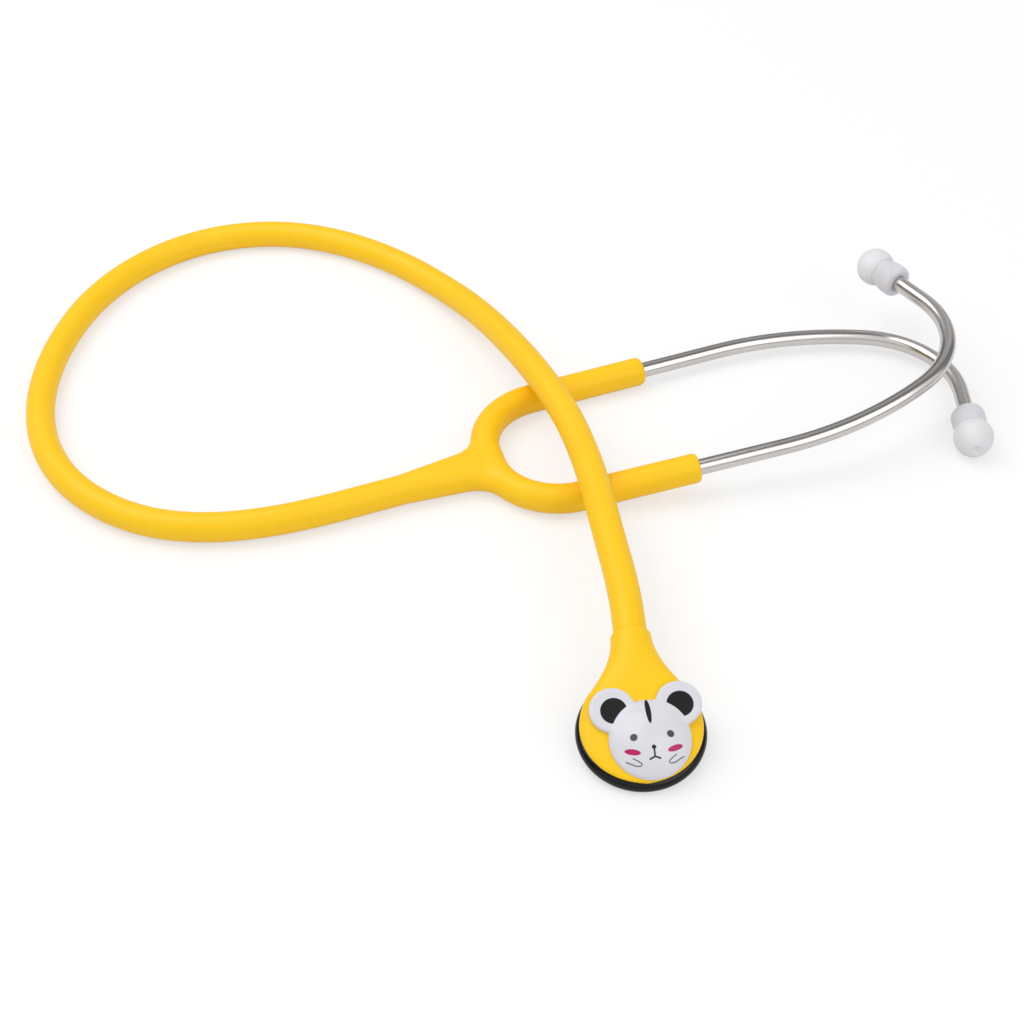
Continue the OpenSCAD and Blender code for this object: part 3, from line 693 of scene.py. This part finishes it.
tip_silicone = silicone("tip_silicone")
collar_plastic = moulded("collar_plastic", (0.64, 0.63, 0.76, 1), (0.57, 0.56, 0.70, 1), 0.4)
ball_middle = tip_length - ball_radius
skirt = rounded([(0, lip_seal, lip_round), (0, skirt_radius, skirt_round),
                 (skirt_straight, skirt_radius, skirt_fade), (waist_place, waist_radius, waist_round),
                 (ball_middle, ball_radius, 0)])
ball_start = 180 - math.degrees(math.asin(waist_radius / ball_radius)) - waist_lap
ball_end = math.degrees(math.asin(canal_radius / ball_radius)) + canal_lap
tip_outline = np.concatenate((
    skirt[:-1], arc(ball_middle, ball_radius, ball_start, ball_end, ball_points),
    [(tip_length - canal_mouth, canal_radius), (seat_depth, canal_radius), (seat_depth, collar_seat),
     (lip_inside, collar_seat), (lip_mouth, lip_seal)]))
tip_profile = ringed(tip_outline, tip_ring_step)
for side in sides:
    pull = joints[f"ear_tip_{side}_pull"]
    mouth, outward = np.array(pull["pos_m"]), np.array(pull["axis"])
    tip_path = mouth + np.linspace(0, tip_length, 3)[:, None] * outward
    tip = swept_piece(f"ear_tip_silicone_{side}", tip_path, tip_profile, circle(tip_sides), closed=True)
    tip.data.materials.append(tip_silicone)
    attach(tip, f"tip_{side}")
    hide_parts(f"ear_tip_{side}")
    refinish(f"tip_collar_{side}", collar_plastic)

# Cover of the chest piece
# A wedge of soft yellow vinyl over the cup, moulded in one: a disc in plan whose top slopes up into a
# round neck for the hose. Its rings stand square to the stem, from the tail to the neck's mouth.
cover_radius, neck_reach, flare_share = 0.01775, 0.030, 0.56
neck_radius, stem_height = 0.00605, 0.007
neck_top, slope_height, badge_slope, slope_soft = 0.01305, 0.0085, math.radians(12.5), 0.008
badge_height, badge_ahead = 0.0082, -0.0061
# Up to step_at along the stem the foot lies on the rim, and beyond it is the neck's lower underside
skirt_top, cover_foot, step_at, edge_power = 0.0053, 0.0043, 0.01925, 0.64
tail_edge, mouth_edge_round, mouth_radius, mouth_depth = 0.0012, 0.0008, 0.0051, 0.0075
mouth_edge_share, mouth_inner_round = 0.99, 0.00015
# Its first ring stands this turn in from the tail's point
tail_turn, fan_rings, neck_rings, cover_columns = 0.03, 70, 56, 128
chest_w = -np.array(frame["record"]["mounts"][0]["axis"])
chest_v = np.cross(chest_w, stem_along)
chest_base = neck_mouth - neck_reach * stem_along - stem_height * chest_w


def in_chest(points):
    """Points given along the stem, to its side and up from the chest piece's foot, in the row frame."""
    return chest_base + points @ np.array((stem_along, chest_v, chest_w))


def smooth_share(value, first, last):
    """0 before the first place, 1 after the last, with a soft change between."""
    t = np.clip((value - first) / (last - first), 0, 1)
    return t * t * (3 - 2 * t)


def cover_rings(u, columns):
    """The cover's rings at those places along the stem, as arrays of (along, side, up). Half the width is
    the disc's, then the neck's and a part that shrinks with the square of the way left. The top is a
    slope that eases into the neck. Each ring takes a circle's cosine and sine to a power that grows to
    one at the neck, so its corners are fuller near the tail."""
    flare_at = cover_radius * flare_share
    flare_half = math.sqrt(cover_radius ** 2 - flare_at ** 2)
    flared = (neck_reach - u) / (neck_reach - flare_at)
    half = np.where(u < flare_at, np.sqrt(np.maximum(cover_radius ** 2 - u ** 2, 0)),
                    neck_radius + (flare_half - neck_radius) * flared ** 2)
    slope_end = badge_ahead + (neck_top - slope_height) / math.tan(badge_slope)
    v = (u - slope_end) / slope_soft
    eased_slope = np.where(v < -0.5, v, np.where(v < 0.5, -(0.5 - v) ** 2 / 2, 0))
    top = neck_top + eased_slope * slope_soft * math.tan(badge_slope)
    middle = skirt_top + (stem_height - skirt_top) * smooth_share(u, 0, step_at)
    bottom = np.where(u < step_at, cover_foot, stem_height - neck_radius)
    power = (edge_power + (1 - edge_power) * smooth_share(u, 0, neck_reach))[:, None]
    tail = np.sqrt(1 - (1 - np.clip((u + cover_radius) / tail_edge, 0, 1)) ** 2)
    across, upright = circle(columns).T[:, None]
    reach = np.where(upright > 0, ((top - middle) * tail)[:, None], (middle - bottom)[:, None])
    return np.stack((np.broadcast_to(u[:, None], reach.shape),
                     half[:, None] * np.sign(across) * abs(across) ** power,
                     middle[:, None] + np.sign(upright) * abs(upright) ** power * reach), axis=-1)


fan = -cover_radius * np.cos(np.linspace(tail_turn, math.acos(-flare_share), fan_rings))
sleeve = np.linspace(cover_radius * flare_share, neck_reach - mouth_edge_round, neck_rings)[1:]
skin = cover_rings(np.concatenate((fan, sleeve)), cover_columns)
mouth = rounded([(neck_reach - mouth_edge_round, neck_radius, 0),
                 (neck_reach, neck_radius, mouth_edge_round * mouth_edge_share),
                 (neck_reach, mouth_radius, mouth_inner_round),
                 (neck_reach - mouth_depth, mouth_radius, 0)], round_steps)[1:]
across, upright = circle(cover_columns).T
mouth_rings = np.stack((np.broadcast_to(mouth[:, :1], (len(mouth), cover_columns)), mouth[:, 1:] * across,
                        stem_height + mouth[:, 1:] * upright), axis=-1)
rings = np.concatenate((skin, mouth_rings))
rings = np.concatenate((rings[:1], rings, rings[-1:]))
points = np.concatenate((rings[:1].mean(axis=1), rings[1:-1].reshape(-1, 3), rings[-1:].mean(axis=1)))
cover = new_piece("cover", in_chest(points), tube_faces(len(rings), cover_columns, closed=False))
cover.data.materials.append(vinyl("cover_vinyl", tube_yellow, tube_amber))
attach(cover, "chest_piece")
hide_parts("chestpiece_cover")

# Rim, diaphragm and the metal inside
# A glossy black rubber ring with a round bead snaps over the cup's flange and holds the diaphragm. It is
# a turned form. The cup and the stem are bare metal, and the diaphragm is a stiff matt film.
bead_radius, bead_middle, lip_radius, lip_height = 0.00215, 0.0168, 0.01585, 0.0008
groove_radius, groove_top, rim_inner, rim_height = 0.01705, 0.0030, 0.0149, 0.0043
foot_round, inner_round, rim_round_steps = 0.0003, 0.0002, 4
bead_points, rim_ring_step, rim_sides = 40, 0.0005, 160
bead = np.radians(np.linspace(-90, 90, bead_points))
rim_outline = np.concatenate((
    np.stack((bead_radius + bead_radius * np.sin(bead), bead_middle + bead_radius * np.cos(bead)), axis=1),
    rounded([(rim_height, rim_inner, foot_round), (groove_top, rim_inner, inner_round),
             (groove_top, groove_radius, 0), (lip_height, groove_radius, 0),
             (lip_height, lip_radius, inner_round), (0, lip_radius, foot_round)], rim_round_steps)))
rim_path = in_chest(np.stack((np.zeros(3), np.zeros(3), np.linspace(0, rim_height, 3)), axis=1))
rim_profile = ringed(rim_outline, rim_ring_step)
rim = swept_piece("rim", rim_path, rim_profile, circle(rim_sides), stem_along, closed=True)
rim_rubber = moulded("rim_rubber", (0.006, 0.006, 0.007, 1), (0.004, 0.004, 0.005, 1), 0.10,
                     Specular_IOR_Level=0.28)
rim.data.materials.append(rim_rubber)
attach(rim, "chest_piece")
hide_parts("soft_rim")
refinish("chestpiece_cup", steel("cup_metal", (0.60, 0.61, 0.63, 1), 0.25, (400, 400, 400), 0.000005))
refinish("hose_stem", steel("stem_metal", (0.68, 0.68, 0.70, 1), 0.2, (400, 400, 400), 0.000005))
refinish("diaphragm", moulded("diaphragm_film", (0.70, 0.71, 0.73, 1), (0.64, 0.65, 0.67, 1), 0.35))

# Badge
# A glossy white plastic face with two round ears sits on the slope. It is one moulding, a low dome over
# thin ears, and its print in black, grey and pink is worked out from the place in the badge's plan.
face_radius, face_edge, face_dome = 0.0118, 0.0012, 0.004
ear_radius, ear_places, ear_thick, ear_round = 0.00665, (0.0095, 0.0095), 0.002, 0.0006
badge_side, badge_turn = -0.0017, math.radians(2.5)
edge_round, ear_join, badge_step = 0.0009, 0.0007, 0.00025
dome_radius = (face_radius ** 2 + face_dome ** 2) / (2 * face_dome)
face_height = face_edge + face_dome


def badge_field(points):
    """Distance from the badge's skin in its own frame, with x towards the ears and z out of the face. The
    face is what an upright cylinder and a ball share, each ear is a thin disc, a rounded change joins
    them, and the foot cuts them level."""
    x, y, z = points[..., 0], points[..., 1], points[..., 2]
    wall = np.hypot(x, y) - face_radius
    dome = np.sqrt(x ** 2 + y ** 2 + (z - face_height + dome_radius) ** 2) - dome_radius
    face = -blended(-wall, -dome, edge_round)
    ear = np.hypot(x - ear_places[0], abs(y) - ear_places[1]) - ear_radius
    ear = -blended(-ear, ear_thick - z, ear_round * 2)
    return np.maximum(blended(face, ear, ear_join), -z)


badge_reach, badge_margin, mm = ear_places[1] + ear_radius, 3.5 * badge_step, 1000
badge_low = np.array((-face_radius, -badge_reach, 0))
badge_high = np.array((ear_places[0] + ear_radius, badge_reach, face_height))
badge_points, badge_quads = net(badge_field, badge_low - badge_margin, badge_high + badge_margin,
                                badge_step)
badge_points = settled(badge_points, badge_quads, badge_field, badge_step)
plan = np.stack((-badge_points[:, 1], badge_points[:, 0], badge_points[:, 2]), axis=1) * mm
badge_lie = Matrix.Rotation(-badge_slope, 3, "Y") @ Matrix.Rotation(badge_turn, 3, "Z")
badge_placed = badge_points @ np.array(badge_lie).T + (badge_ahead, badge_side, badge_height)
badge = new_piece("badge", in_chest(badge_placed), badge_quads.tolist(), plan=plan)


def line_gap(x, y, first, last):
    """Distance from a straight stroke, in the print's millimetres. The point's share of the way along the
    stroke, kept between its ends, gives the nearest place on it."""
    away_x, away_y = x - first[0], y - first[1]
    span_x, span_y = last[0] - first[0], last[1] - first[1]
    share = (away_x * span_x + away_y * span_y) / (span_x ** 2 + span_y ** 2)
    share = share.most(0.0).least(1.0)
    off_x, off_y = away_x - share * span_x, away_y - share * span_y
    return (off_x * off_x + off_y * off_y).root()


def printed_face(name):
    """White glossy plastic with the printed face. The print's millimetres lie in the attribute plan, x to
    the right of the face and y up. Both halves of the face are alike."""
    finish = Finish(bpy.data.materials.new(name))
    plan = finish.add("Attribute", {"attribute_name": "plan"}, output="Vector")
    x, y, z = (finish.add("SeparateXYZ", {}, {0: plan}, output=axis) for axis in range(3))
    print_middle, print_foot, soft = 0.28, 1.2, 0.06
    mouth_half, curl_half = 0.25, 0.17
    x = abs(x - print_middle)

    def disc(at, size, tilt=0.0):
        """Distance from the middle of an ellipse, 1 on its edge."""
        cos, sin = math.cos(math.radians(tilt)), math.sin(math.radians(tilt))
        dx, dy = x - at[0], y - at[1]
        along, across = (dx * cos + dy * sin) / size[0], (dy * cos - dx * sin) / size[1]
        return (along * along + across * across).root()

    face = disc((0.0, 0.0), (1.0, 1.0))
    inner_ear = finish.step(disc((9.47, 9.0), (3.85, 3.85)), 1.0, 0.02)
    inner_ear = inner_ear * (1 - finish.step(face, 11.35, soft))
    stripe = finish.step(disc((0.0, 7.4), (0.75, 4.1)), 1.0, 0.05)
    nose = finish.step(disc((0.0, -3.6), (0.62, 0.62)), 1.0, 0.08)
    lip, lip_end = (0.0, -6.15), (1.45, -6.75)
    mouth = line_gap(x, y, (0.0, -3.6), lip).least(line_gap(x, y, lip, lip_end))
    eyes = finish.step(disc((5.2, -0.2), (1.05, 1.05)), 1.0, 0.06)
    cheeks = finish.step(disc((6.03, -4.2), (2.3, 0.8), 17.5), 1.0, 0.06)
    curl = [(6.1, -5.95), (4.8, -6.8), (3.95, -7.5), (3.85, -7.95), (4.4, -8.2), (5.6, -7.95), (8.1, -6.5)]
    stroke = line_gap(x, y, curl[0], curl[1])
    for first, last in zip(curl[1:], curl[2:]):
        stroke = stroke.least(line_gap(x, y, first, last))
    upper = 1 - finish.step(z, print_foot, 0.1)
    black = inner_ear.most(stripe).most(nose).most(finish.step(mouth, mouth_half, soft)) * upper
    grey, pink, dark = finish.step(stroke, curl_half, soft) * upper, cheeks * upper, eyes * upper
    place = finish.place()
    cloud = finish.noise(place, scale=150, detail=3)
    colour = finish.mix(cloud, (0.69, 0.685, 0.73, 1), (0.725, 0.72, 0.765, 1))
    for share, ink in ((grey, (0.156, 0.150, 0.181, 1)), (pink, (0.47, 0.008, 0.118, 1)),
                       (dark, (0.070, 0.070, 0.078, 1)), (black, (0.008, 0.008, 0.009, 1))):
        colour = finish.mix(share, colour, ink)
    ink = black.most(grey).most(pink).most(dark)
    relief = finish.bump(finish.noise(place, scale=1800, detail=2) + ink, depth=0.000012)
    return finish.end(Base_Color=colour, Roughness=0.18 + cloud * 0.08 + ink * 0.12, Normal=relief,
                      Specular_IOR_Level=0.35)


badge.data.materials.append(printed_face("badge_plastic"))
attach(badge, "chest_piece")
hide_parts("animal_badge")

# Floor, lights and surroundings
# A white table in a white room under two soft square lamps. The table glows a little where it is seen,
# so that it looks white and keeps the toy's shadow.
floor_reach = 3.0
# The glow's strength, its share beside the light that the table returns, and what reflections lose
table_glow, glow_share, glossy_loss = 1.12, 0.5, 0.3
floor_corners = np.array(((-1, -1, 0), (1, -1, 0), (1, 1, 0), (-1, 1, 0))) * floor_reach
floor = new_piece("floor", floor_corners, [(0, 1, 2, 3)])


def seen_rays(finish):
    """Two masks: the camera's, reflected and see-through rays together, and the reflected ones alone."""
    camera_ray, glossy, through = (finish.add("LightPath", output=f"Is {name} Ray")
                                   for name in ("Camera", "Glossy", "Transmission"))
    return camera_ray.most(glossy).most(through), glossy


table_top = Finish(bpy.data.materials.new("table_top"))
seen, glossy = seen_rays(table_top)
lit = table_top.add("BsdfDiffuse", {}, {"Color": (0.84, 0.84, 0.845, 1)})
glow = table_top.add("Emission", {}, {"Color": (1, 1, 1, 1), "Strength": table_glow - glossy * glossy_loss})
surface = table_top.add("MixShader", {}, {0: seen * glow_share, 1: lit, 2: glow})
table_top.add("OutputMaterial", {}, {"Surface": surface})
floor.data.materials.append(table_top.owner)
lamp_aim = Vector((-0.02, 0.04, 0))
for name, place, size, power in (("key", (-0.55, 0.45, 1.15), 1.1, 8.0),
                                 ("fill", (0.5, -0.9, 1.0), 1.2, 5.0)):
    light = bpy.data.lights.new(name, "AREA")
    light.shape, light.size, light.energy = "SQUARE", size, power
    lamp = bpy.data.objects.new(name, light)
    aim = lamp_aim - Vector(place)
    lamp.matrix_world = Matrix.Translation(place) @ aim.to_track_quat("-Z", "Y").to_matrix().to_4x4()
    bpy.context.scene.collection.objects.link(lamp)

# The room is white to the camera and less strong as a light. Reflections show darker bands, as of a real
# room: the far half, with a paler stretch, a dark end and two pale uprights, and low behind the camera.
room_light, least_dark = 0.62, 0.14
far_dark, farther_light, farthest_dark, upright_light, low_dark = 0.78, 0.2, 0.28, 0.22, 0.6
upright_middle, upright_apart = 0.15, 0.42
sky = Finish(bpy.data.worlds.new("room"))
seen, glossy = seen_rays(sky)
way = sky.add("TexCoord", output="Generated")
x, y, z = (sky.add("SeparateXYZ", {}, {0: way}, output=axis) for axis in range(3))
far = 1 - sky.step(y, edge=-0.2, softness=0.08)
farther = 1 - sky.step(y, edge=0.38, softness=0.06)
farthest = 1 - sky.step(y, edge=0.86, softness=0.04)
upright_off = abs(abs(x - upright_middle) - upright_apart)
upright = sky.step(upright_off, edge=0.09, softness=0.06) * farther
low = sky.step(z, edge=0.2, softness=0.08) * sky.step(y, edge=-0.3, softness=0.2)
dark = far * far_dark - farther * farther_light + farthest * farthest_dark - upright * upright_light
dark = dark.most(low * low_dark).most(least_dark)
strength = room_light + seen * (1 - room_light) - dark * glossy
background = sky.add("Background", {}, {"Color": (1, 1, 1, 1), "Strength": strength})
sky.add("OutputWorld", {}, {"Surface": background})
bpy.context.scene.world = sky.owner
bpy.context.scene.view_settings.view_transform = "Standard"
